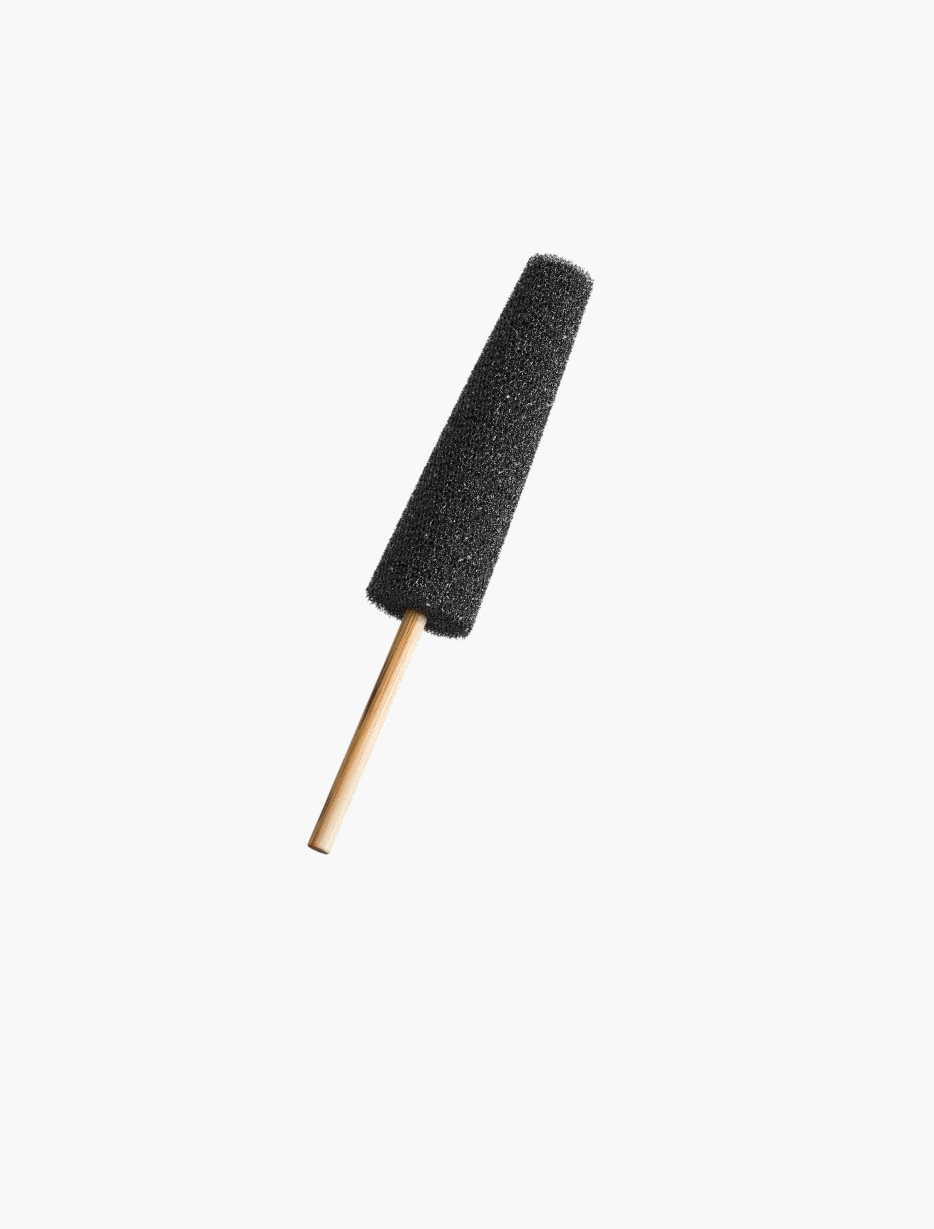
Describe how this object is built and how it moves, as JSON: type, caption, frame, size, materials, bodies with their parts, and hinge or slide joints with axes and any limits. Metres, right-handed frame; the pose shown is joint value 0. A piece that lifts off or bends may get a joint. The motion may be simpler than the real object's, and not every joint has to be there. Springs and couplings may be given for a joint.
{
  "type": "foam applicator",
  "caption": "Tapered open-cell foam head glued onto a plain round wooden dowel handle, for dabbing and brushing on liquids.",
  "frame": {"origin": "centre of the handle's free end face", "axes": "+Z along the handle, from its free end towards the tip of the foam head; X and Y are equivalent"},
  "size_m": [0.031, 0.031, 0.1815],
  "materials": {
    "foam": "black open-cell polyurethane foam, matt, with fine glossy strands",
    "wood": "unvarnished pale birch dowel, fine lengthwise grain",
    "glue": "cured amber adhesive, hidden inside the head"
  },
  "bodies": {
    "root": {"foam_head": "foam", "handle_dowel": "wood", "glue_bond": "glue"}
  },
  "joints": []
}
